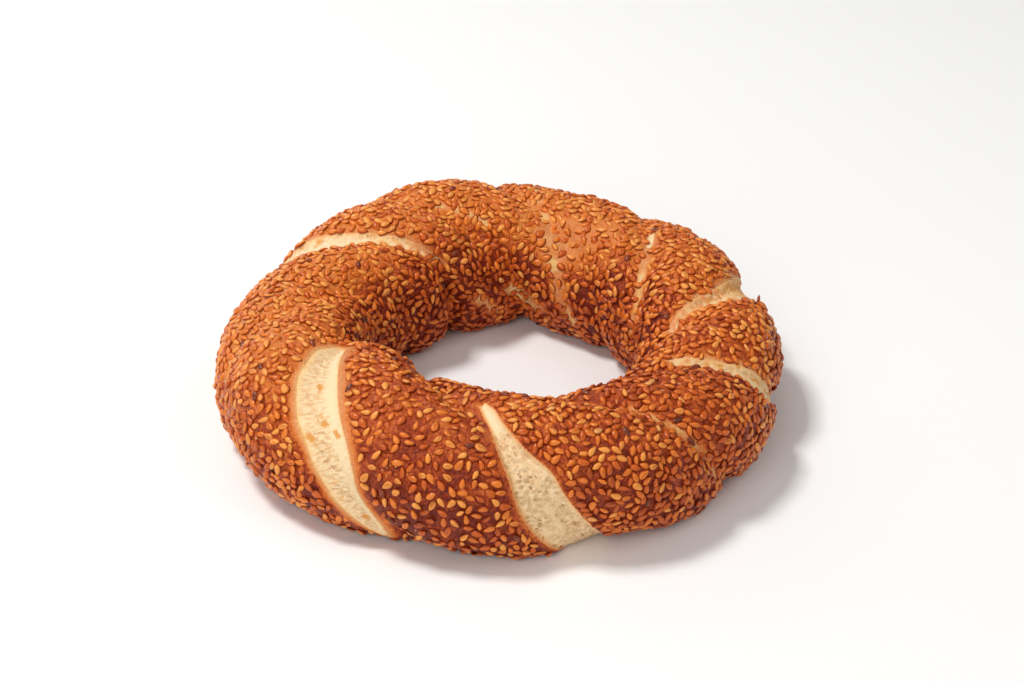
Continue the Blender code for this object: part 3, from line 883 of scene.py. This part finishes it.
def crumb_body(each, index):
    """(points, faces, ends, values) of the crumb in one tear, as one closed body.

    Its top is a ladder of rungs from edge to edge, which sags between them. Pores dent it, and fibres run
    across it. A coarse floor closes it below.
    """
    draw = draw_for(CRUMB_DRAW + index)
    heading, girth, share, span, length = crumb_ladder(each)
    flat = crust_point(heading, girth)
    position = np.linspace(0, 1, len(share))[:, None] + np.zeros_like(share)
    run, across = position * length, share * span
    nearer = (share > 0.5).astype(int)
    from_edge = np.where(nearer, (1 - share) * span, across)

    centre, spread = each["skin"]
    if spread:
        skin = np.exp(-(((share - centre) / spread) ** 2)) * (0.6 + 0.4 * smooth_step(1.8 - 2 * position))
    else:
        skin = smooth_step((0.27 - position) / 0.08)
    spacing, largest = (value * MM for value in each["pores"])
    clusters = smooth_step(0.55 + 0.6 * lumps(flat, PORE_CLUSTERS, draw))
    pore = pore_depths(run, across, span, spacing, largest, draw)
    pore *= (1 - 0.9 * skin) * (0.25 + 0.75 * clusters)
    rough = lumps(flat, COARSE, draw)
    fine = lumps(flat, FINE, draw)
    web = (np.abs(lumps(flat, WEB, draw)) + 0.6 * np.abs(lumps(flat, FINE_WEB, draw))) * (1 - skin)
    fibre = lumps(np.stack([run + 0.35 * across, 0.20 * across, 0 * run], axis=-1), FIBRES, draw)
    patch = smooth_step((lumps(flat, TOAST_PATCHES, draw) - 1.25) * 1.6)
    toast = each["toast"] * patch * (1 - skin)
    for spot_position, spot_share, radius in each["spots"]:
        away = np.hypot((position - spot_position) * length, (share - spot_share) * span) / (radius * MM)
        toast = np.maximum(toast, 0.9 * smooth_step(1.5 - away - 0.30 * rough - 0.12 * fine))

    soft = START[index] < SOFT_START
    ramps = np.where(soft, SOFT_RAMP, CRISP_RAMP)
    inward = np.minimum(smooth_step(across / ramps[0]), smooth_step((span - across) / ramps[1]))
    heights = np.where(soft, SOFT_EDGE_HEIGHT, -EDGE_DROP)
    out = heights[0] + (heights[1] - heights[0]) * smooth_step(share) - each["depth"] * MM * inward
    crumbly = COARSE_HEIGHT * rough + (FINE_HEIGHT * fine + WEB_HEIGHT * web) * each["rough"]
    crumbly += FIBRE_HEIGHT * fibre * each["fibres"]
    out += crumbly * inward * (1 - 0.6 * skin)
    out += (TOAST_HEIGHT * toast + SKIN_HEIGHT * skin + PORE_HEIGHT * pore) * inward
    out -= np.where(soft[nearer], SOFT_TUCK_DEPTH, CRISP_TUCK_DEPTH) * np.clip(-from_edge / EDGE_TUCK, 0, 1)

    inner_reach = INNER[index, nearer] * MM
    bake = START[index, nearer] * np.where(soft[nearer], EDGE_BAKE, CRISP_EDGE_BAKE)
    bake *= np.exp(-np.maximum(from_edge, 0) / inner_reach)
    tan = each["tan"][0] + (each["tan"][1] - each["tan"][0]) * smooth_step(1.6 * position)
    # Painted shade in the pores and in the deep hollows of the web.
    pore_shade = np.clip(pore + 0.30 * each["rough"] * smooth_step(web - 0.9), 0, 1)
    values = {
        "bake": np.maximum(bake, tan * (1 + 0.30 * rough + 0.15 * fine)),
        "skin": skin,
        "pore": pore_shade * np.clip(inward * 4, 0, 1),
        "toast": toast,
        "fibre": 0.5 + 0.25 * each["fibres"] * fibre,
    }

    along_count, across_count = share.shape
    below = np.linspace(across_count - 1, 0, CRUMB_FLOOR_POINTS + 2)[1:-1].round().astype(int)
    floor = crust_point(heading[:, below], girth[:, below], -CRUMB_THICKNESS)
    points = np.concatenate([crust_point(heading, girth, out), floor], axis=1).reshape(-1, 3)
    blank = np.zeros((along_count, CRUMB_FLOOR_POINTS))
    values = {key: np.concatenate([value, blank], axis=1).ravel() for key, value in values.items()}
    loop = np.arange(across_count + CRUMB_FLOOR_POINTS)
    ends = [loop[None, ::-1], (along_count - 1) * len(loop) + loop[None, :]]
    return points, grid_faces(along_count, len(loop)), ends, values


class SIMIT_OT_crumb(bpy.types.Operator):
    """Fills each tear with porous crumb"""

    bl_idname = "simit.crumb"
    bl_label = "Tear Crumb"

    def execute(self, context):
        material = crumb_material(colours())
        for index, each in enumerate(TEARS):
            if not each["torn"]:
                continue
            points, faces, ends, values = crumb_body(each, index)
            crumb = make_mesh(f"crumb_{each['name']}", points, [faces, *ends], material, values)
            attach(crumb, "root")
        return {"FINISHED"}


# A seed is a drop with a pointed tip: shares of its length at which it has a ring of points.
SEED_STATIONS = np.array([0.055, 0.27, 0.56, 0.84])
SEED_BLUNTNESS = 0.55  # lower is blunter at the round end
# One ring of points, each (side of the seed, how far beyond its rim, height, crown): the foot is the glaze
# that has drawn up round the seed, coloured darker as painted contact shade. Heights are in thicknesses
# and the rest in widths.
SEED_SECTION = (
    (1, 0.15, -0.32, 0.0), (1, 0.0, -0.04, 0.6), (0.66, 0.0, 0.38, 0.9), (0, 0.0, 0.5, 1.0),
    (-0.66, 0.0, 0.38, 0.9), (-1, 0.0, -0.04, 0.6), (-1, -0.15, -0.32, 0.0), (0, 0.0, -0.6, 0.0),
)
SEED_MIDDLE_SHADING = np.array([0.3, 1.0, 0.9, 0.3])  # how dark the painted middle shading on top of a seed can be at each station
SEED_FOOT = 0.07  # how far the glaze reaches beyond both ends, in lengths
SEED_KINDS = ("golden", "amber", "toasted", "pale", "dark")
# How uneven seeds are: spreads of length, width and thickness, bend, roll, lean, and height above the crust.
LENGTH_SPREAD, SHORTEST, LONGEST, GIRTH_SPREAD = 0.09, 0.78, 1.18, 0.08
BEND_SPREAD, ROLL_SPREAD, LEAN_SPREAD, PROUD_SPREAD = 0.10, 0.13, 0.12, 0.07 * MM
# Seeds that stick out of the crust: (heading, girth, direction along the crust, lean) in degrees.
STANDING_SEEDS = ((6.0, 45, 80, 68), (306.0, 121, 20, 40), (188.0, 62, 120, 38), (41.0, 66, 60, 45))
# How many places are tried for seeds, and the shares kept on pale streaks and on the underside.
SEED_THROWS, STREAK_SHARE, UNDERSIDE_SHARE = 90000, 0.10, 0.15
UNDERSIDE_LEVEL = 1.5 * MM
LOWEST_SEED = 0.02 * MM
# Seeds push each other apart in rounds. Discs stand for a seed: (place along it, radius), by its length.
SEED_DISCS = ((-0.24, 0.235), (0.02, 0.255), (0.29, 0.15))
SETTLE_ROUNDS, ROUNDS_PER_SEARCH, SEED_REACH = 18, 6, 3.8 * MM
PUSH, TWIST, LARGEST_TWIST = 0.35, 3, 0.3
TONE_PATCHES = 22 * MM  # wavelength of the browner and lighter patches of seeds
BEFORE_PALE, BEFORE_DARK = 0.977, 0.983  # shares of all seeds that come before the pale and the dark ones
# Lobes at the front on which seeds lie farther apart: (heading, its spread in degrees, how much).
SPARSE_LOBES = ((252, 16, 1.0), (207, 14, 0.35))


def seed_form():
    """(points, quads, triangles, crown, heart) of one seed from -0.5 to 0.5 along X, one unit wide and thick.

    Its half width at share s of the length is proportional to s^0.55 (1 - s): blunt at one end and
    pointed at the other. The crown is 1 along its top, 0.6 at its rim and 0 at the foot of the glaze,
    whose dark colour is partly painted contact shade.
    """
    widest = SEED_BLUNTNESS / (1 + SEED_BLUNTNESS)
    width = SEED_STATIONS**SEED_BLUNTNESS * (1 - SEED_STATIONS)
    width = width[:, None] / (widest**SEED_BLUNTNESS * (1 - widest)) / 2
    side, beyond, height, crown = np.array(SEED_SECTION).T
    height = np.where(height > 0, height * 2 * width, height)
    rings = np.broadcast_arrays(SEED_STATIONS[:, None] - 0.5, width * side + beyond, height)
    ends = [(-0.5 - SEED_FOOT, 0, SEED_SECTION[0][2]), (0.5 + SEED_FOOT, 0, SEED_SECTION[0][2])]
    points = np.vstack([np.stack(rings, axis=-1).reshape(-1, 3), ends])
    crowns = np.append(np.tile(crown, len(SEED_STATIONS)), [0, 0])
    hearts = np.append(np.outer(SEED_MIDDLE_SHADING, crown == 1), [0, 0])
    return points, *pod_faces(len(SEED_STATIONS), len(SEED_SECTION)), crowns, hearts


def sparse(heading, girth):
    """How far seeds lie apart, as a factor: wider on the front lobes beside the wide tears."""
    degrees = np.degrees(np.mod(heading, TURN))
    front = sum(much * np.exp(-(((degrees - at) / spread) ** 4)) for at, spread, much in SPARSE_LOBES)
    outside = smooth_step(0.5 + np.cos(girth - math.radians(20)))
    return 1 + 0.36 * np.clip(front, 0, 1) * outside + 0.30 * on_lobe(heading, girth, STRETCHED_LOBE)


def throw_seeds(draw):
    """(headings, girths): random places no nearer to each other than the spacing, clear of the tears."""
    heading, girth = draw.uniform(0, TURN, SEED_THROWS), draw.uniform(0, TURN, SEED_THROWS)
    along, around, _ = crust_axes(heading, girth)
    area = np.linalg.norm(np.cross(along, around), axis=-1)
    keep = draw.random(SEED_THROWS) < area / area.max()
    heading, girth = heading[keep], girth[keep]
    distance, number, side = tear_field(heading, girth)
    streaked = ~TORN[number] & (draw.random(len(heading)) < STREAK_SHARE)
    keep = (distance > BARE[number, side] * MM) | streaked
    heading, girth = heading[keep], girth[keep]
    places = crust_point(heading, girth)
    keep = (places[:, 2] > UNDERSIDE_LEVEL) | (draw.random(len(places)) < UNDERSIDE_SHARE)
    heading, girth, places = heading[keep], girth[keep], places[keep]
    spacing = sizes().seed_spacing * sparse(heading, girth)
    keys = [tuple(key) for key in np.floor(places / spacing.max()).astype(int)]
    cells = {}
    kept = []
    shifts = [(i, j, k) for i in (-1, 0, 1) for j in (-1, 0, 1) for k in (-1, 0, 1)]
    for index, key in enumerate(keys):
        near = [n for i, j, k in shifts for n in cells.get((key[0] + i, key[1] + j, key[2] + k), ())]
        if near and np.linalg.norm(places[near] - places[index], axis=1).min() < spacing[index]:
            continue
        cells.setdefault(key, []).append(index)
        kept.append(index)
    return heading[kept], girth[kept]


def near_pairs(places, reach):
    """Pairs of places nearer to each other than reach."""
    tree = KDTree(len(places))
    for index, place in enumerate(places):
        tree.insert(place, index)
    tree.balance()
    pairs = [(a, b) for a, place in enumerate(places) for _, b, _ in tree.find_range(place, reach) if b > a]
    return np.array(pairs).T


def along_seed(along, outward, spin):
    """The direction of each seed over the crust, turned from that of the ring by its spin."""
    forward = unit(along)
    return forward * np.cos(spin)[:, None] + np.cross(outward, forward) * np.sin(spin)[:, None]


def settle_seeds(heading, girth, spin, length):
    """Seeds that overlap push each other apart over the crust and turn each other, a little at a time."""
    for step in range(SETTLE_ROUNDS):
        places = crust_point(heading, girth)
        along, around, outward = crust_axes(heading, girth)
        if step % ROUNDS_PER_SEARCH == 0:
            first, second = near_pairs(places, SEED_REACH)
        axis = along_seed(along, outward, spin)
        push = np.zeros_like(places)
        twist = np.zeros(len(places))
        for offset_a, radius_a in SEED_DISCS:
            for offset_b, radius_b in SEED_DISCS:
                arm_a = axis[first] * (offset_a * length[first])[:, None]
                arm_b = axis[second] * (offset_b * length[second])[:, None]
                gap = places[first] + arm_a - places[second] - arm_b
                far = np.linalg.norm(gap, axis=1) + 1e-9
                overlap = np.clip(radius_a * length[first] + radius_b * length[second] - far, 0, None)
                move = gap / far[:, None] * (overlap * PUSH)[:, None]
                np.add.at(push, first, move)
                np.add.at(push, second, -move)
                for index, arm, sign in ((first, arm_a, 1), (second, arm_b, -1)):
                    turn = (np.cross(arm, sign * move) * outward[index]).sum(1) / length[index] ** 2
                    np.add.at(twist, index, TWIST * turn)
        heading = heading + (push * along).sum(1) / (along**2).sum(1)
        girth = girth + (push * around).sum(1) / (around**2).sum(1)
        spin = spin + np.clip(twist, -LARGEST_TWIST, LARGEST_TWIST)
    return heading, girth, spin


def seed_kinds(draw, heading, girth):
    """(how deeply baked the crust is, with painted shade and light in it, how light the seed is, number of
    its kind) for each seed.

    Fewer seeds are golden or amber on deeply baked crust, and, as painted shade, in the hole and on the
    shaded lobe.
    """
    count = len(heading)
    patches = lumps(crust_point(heading, girth), TONE_PATCHES, draw)
    bake_and_shading = np.clip(bake_and_painted_shading(heading, girth) + 0.14 * patches, 0, 1)
    inner, light = hole_side(girth), on_lobe(heading, girth, SUNLIT_LOBE)
    shaded = on_lobe(heading, girth, SHADED_LOBE)
    # Painted shade: seeds in the hole and on the shaded lobe are darker and browner. Painted light: those on
    # the sunlit lobe are lighter and more golden.
    tone = np.clip(0.8 * draw.random(count) + 0.30 * (1 - bake_and_shading) + 0.15 * light - 0.18 * shaded, 0, 1)
    golden = 0.40 - 0.16 * bake_and_shading - 0.24 * inner + 0.16 * light - 0.20 * shaded
    amber = 0.84 - 0.22 * bake_and_shading - 0.30 * inner + 0.08 * light - 0.22 * shaded
    pick = draw.random(count)
    kind = sum((pick >= limit).astype(int) for limit in (golden, amber, BEFORE_PALE, BEFORE_DARK))
    return bake_and_shading, tone, kind


def seed_batch(draw, heading, girth, spin, length, lean):
    """(points, quads, triangles, crown, heart) of all these seeds, each its own size, bend and tilt."""
    form, quads, triangles, crown, heart = seed_form()
    count = len(heading)
    own = sizes()
    width = own.seed_width * draw.normal(1, GIRTH_SPREAD, count) * length / own.seed_length
    thickness = own.seed_thickness * draw.normal(1, GIRTH_SPREAD, count)
    local = np.broadcast_to(form, (count, *form.shape)).copy()
    local[..., 1] += draw.normal(0, BEND_SPREAD, count)[:, None] * (local[..., 0] ** 2 - 0.1)
    local *= np.stack([length, width, thickness], axis=-1)[:, None, :]
    places = crust_point(heading, girth, crust_lift(heading, girth, *tear_field(heading, girth)))
    along, _, outward = crust_axes(heading, girth)
    axis = along_seed(along, outward, spin)
    axis = axis * np.cos(lean)[:, None] + outward * np.sin(lean)[:, None]
    across = np.cross(outward, axis) + outward * draw.normal(0, ROLL_SPREAD, count)[:, None]
    across = unit(across - axis * (across * axis).sum(1, keepdims=True))
    proud = own.seed_proud + draw.normal(0, PROUD_SPREAD, count)
    proud += 0.4 * length * np.clip(np.sin(lean) - 0.5, 0, 1)
    middle = places + outward * proud[:, None]
    points = middle[:, None, :] + sum(
        local[..., i : i + 1] * direction[:, None, :]
        for i, direction in enumerate((axis, across, np.cross(axis, across)))
    )
    points[..., 2] = np.maximum(points[..., 2], LOWEST_SEED)
    starts = np.arange(count)[:, None, None] * len(form)
    quads, triangles = (quads + starts).reshape(-1, 4), (triangles + starts).reshape(-1, 3)
    # How dark each seed's painted middle shading is.
    middle_shading = np.clip(1.5 * draw.random(count) - 0.6, 0, 0.75)
    return points.reshape(-1, 3), quads, triangles, np.tile(crown, count), np.outer(middle_shading, heart).ravel()


class SIMIT_OT_seeds(bpy.types.Operator):
    """Scatters sesame seeds over the crust, one piece for each kind"""

    bl_idname = "simit.seeds"
    bl_label = "Scatter Sesame Seeds"

    def execute(self, context):
        draw = draw_for(SEED_DRAW)
        heading, girth = throw_seeds(draw)
        spin = draw.uniform(0, TURN, len(heading))
        length = draw.normal(1, LENGTH_SPREAD, len(heading))
        length = sizes().seed_length * np.clip(length, SHORTEST, LONGEST)
        heading, girth, spin = settle_seeds(heading, girth, spin, length)
        distance, number, side = tear_field(heading, girth)
        keep = (distance > BARE[number, side] * MM * 0.6 - 0.3 * MM) | ~TORN[number]
        heading, girth, spin, length = (a[keep] for a in (heading, girth, spin, length))
        lean = draw.normal(0, LEAN_SPREAD, len(heading))
        standing = np.radians(np.array(STANDING_SEEDS)).T
        heading, girth, spin, lean = np.hstack([(heading, girth, spin, lean), standing])
        length = np.append(length, np.full(len(STANDING_SEEDS), sizes().seed_length))
        bake_and_shading, tone, kind = seed_kinds(draw, heading, girth)
        palette = colours()
        shades = (
            (palette.golden_seed, palette.amber_seed),
            (palette.amber_seed, palette.toasted_seed),
            (palette.toasted_seed, palette.brown_seed),
            (palette.pale_seed, palette.golden_seed),
            (palette.dark_seed, tuple(0.5 * np.array(palette.dark_seed))),
        )
        for index, name in enumerate(SEED_KINDS):
            own = kind == index
            parts = (a[own] for a in (heading, girth, spin, length, lean))
            points, quads, triangles, crown, heart = seed_batch(draw, *parts)
            corners = len(points) // own.sum()
            values = {
                "crown": crown,
                "heart": heart,
                "tone": np.repeat(tone[own], corners),
                "bake": np.repeat(bake_and_shading[own], corners),
            }
            material = seed_material(f"{name}_roasted_sesame", *shades[index], palette)
            seeds = make_mesh(f"sesame_{name}", points, [quads, triangles], material, values)
            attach(seeds, "root")
        return {"FINISHED"}


# Where crumbs have fallen: (heading, girth, spread in degrees, how many).
CRUMB_SPOTS = (
    (15.5, 66, 4.0, 30), (249.0, 30, 3.5, 8), (251.5, -16, 4.5, 8), (263.0, 84, 5.0, 8), (352.0, 60, 9.0, 8),
    (140.0, 75, 12.0, 10), (222.0, 20, 8.0, 6), (95.0, 40, 30.0, 12),
)
GRAIN_ROWS, GRAIN_COLUMNS = 3, 6
SMALLEST_GRAIN, LARGEST_GRAIN = 0.12 * MM, 0.32 * MM
GRAIN_LEVEL = 0.35 * MM  # how far above the crust the grains lie, between the seeds


class SIMIT_OT_loose_crumbs(bpy.types.Operator):
    """Drops loose crumbs between the seeds: small uneven grains with a few faces each"""

    bl_idname = "simit.loose_crumbs"
    bl_label = "Drop Loose Crumbs"

    def execute(self, context):
        draw = draw_for(GRAIN_DRAW)
        spots = np.repeat(np.array(CRUMB_SPOTS)[:, :3], [spot[3] for spot in CRUMB_SPOTS], axis=0)
        heading = np.radians(draw.normal(spots[:, 0], spots[:, 2] * 0.4))
        girth = np.radians(draw.normal(spots[:, 1], spots[:, 2]))
        count = len(spots)
        down = np.linspace(0, math.pi, GRAIN_ROWS + 2)[1:-1, None]
        around = np.arange(GRAIN_COLUMNS)[None, :] * TURN / GRAIN_COLUMNS
        ball = np.broadcast_arrays(np.cos(down), np.sin(down) * np.cos(around), np.sin(down) * np.sin(around))
        form = np.vstack([np.reshape(ball, (3, -1)).T, [(1, 0, 0), (-1, 0, 0)]])
        radius = draw.uniform(SMALLEST_GRAIN, LARGEST_GRAIN, count)[:, None]
        uneven = draw.uniform(0.65, 1.25, (count, len(form)))
        _, _, outward = crust_axes(heading, girth)
        lift = crust_lift(heading, girth, *tear_field(heading, girth)) + GRAIN_LEVEL
        middle = crust_point(heading, girth, lift) + outward * radius
        points = middle[:, None, :] + form * (radius * uneven)[..., None]
        starts = np.arange(count)[:, None, None] * len(form)
        quads, triangles = (faces[:, ::-1] + starts for faces in pod_faces(GRAIN_ROWS, GRAIN_COLUMNS))
        faces = [quads.reshape(-1, 4), triangles.reshape(-1, 3)]
        values = {"toast": np.repeat(draw.uniform(0.5, 1, count), len(form))}
        crumbs = make_mesh("loose_crumbs", points.reshape(-1, 3), faces, crumb_material(colours()), values)
        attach(crumbs, "root")
        return {"FINISHED"}


class SIMIT_OT_stage(bpy.types.Operator):
    """Sets the floor, the lights and the camera"""

    bl_idname = "simit.stage"
    bl_label = "Set Stage"

    def execute(self, context):
        scene = context.scene
        material, _, shader = new_material("matt_pale_paper")
        set_shader(shader, Base_Color=(*colours().floor, 1), Roughness=0.9)
        bpy.ops.mesh.primitive_plane_add(size=FLOOR_SIZE)
        floor = context.object
        floor.name = "floor"
        floor.data.materials.append(material)
        world = bpy.data.worlds.new("soft_room")
        world.use_nodes = True
        background = world.node_tree.nodes["Background"]
        background.inputs["Color"].default_value = (1, 1, 1, 1)
        background.inputs["Strength"].default_value = ROOM_LIGHT
        scene.world = world
        for name, place, size, power in LAMPS:
            light = bpy.data.lights.new(name, "AREA")
            light.size = size
            light.energy = power
            lamp = bpy.data.objects.new(name, light)
            lamp.location = place
            lamp.rotation_euler = (-Vector(place)).to_track_quat("-Z", "Y").to_euler()
            scene.collection.objects.link(lamp)
        elevation = math.radians(CAMERA_ELEVATION)
        back = Vector((0, -math.cos(elevation), math.sin(elevation)))
        camera = bpy.data.objects.new("camera", bpy.data.cameras.new("camera"))
        camera.data.lens = CAMERA_LENS
        camera.data.sensor_width = CAMERA_SENSOR
        camera.location = Vector(CAMERA_TARGET) + CAMERA_DISTANCE * back
        camera.rotation_euler = (-back).to_track_quat("-Z", "Y").to_euler()
        scene.collection.objects.link(camera)
        scene.camera = camera
        scene.view_settings.view_transform = "Standard"
        return {"FINISHED"}


class SIMIT_PT_panel(bpy.types.Panel):
    """Lists the operators, the sizes and the colours"""

    bl_label = "Simit"
    bl_idname = "SIMIT_PT_panel"
    bl_space_type = "VIEW_3D"
    bl_region_type = "UI"
    bl_category = "Simit"

    def draw(self, context):
        for operator in OPERATORS:
            self.layout.operator(operator.bl_idname)
        for group in (context.scene.simit_sizes, context.scene.simit_colours):
            column = self.layout.column()
            for key in group.__annotations__:
                column.prop(group, key)


OPERATORS = (SIMIT_OT_crust, SIMIT_OT_crumb, SIMIT_OT_seeds, SIMIT_OT_loose_crumbs, SIMIT_OT_stage)
CLASSES = (SimitSizes, SimitColours, *OPERATORS, SIMIT_PT_panel)


def register():
    for item in CLASSES:
        bpy.utils.register_class(item)
    bpy.types.Scene.simit_sizes = PointerProperty(type=SimitSizes)
    bpy.types.Scene.simit_colours = PointerProperty(type=SimitColours)


def unregister():
    del bpy.types.Scene.simit_colours
    del bpy.types.Scene.simit_sizes
    for item in reversed(CLASSES):
        bpy.utils.unregister_class(item)


def main():
    register()
    bpy.ops.simit.crust()
    bpy.ops.simit.crumb()
    bpy.ops.simit.seeds()
    bpy.ops.simit.loose_crumbs()
    bpy.ops.simit.stage()


if __name__ == "__main__":
    main()
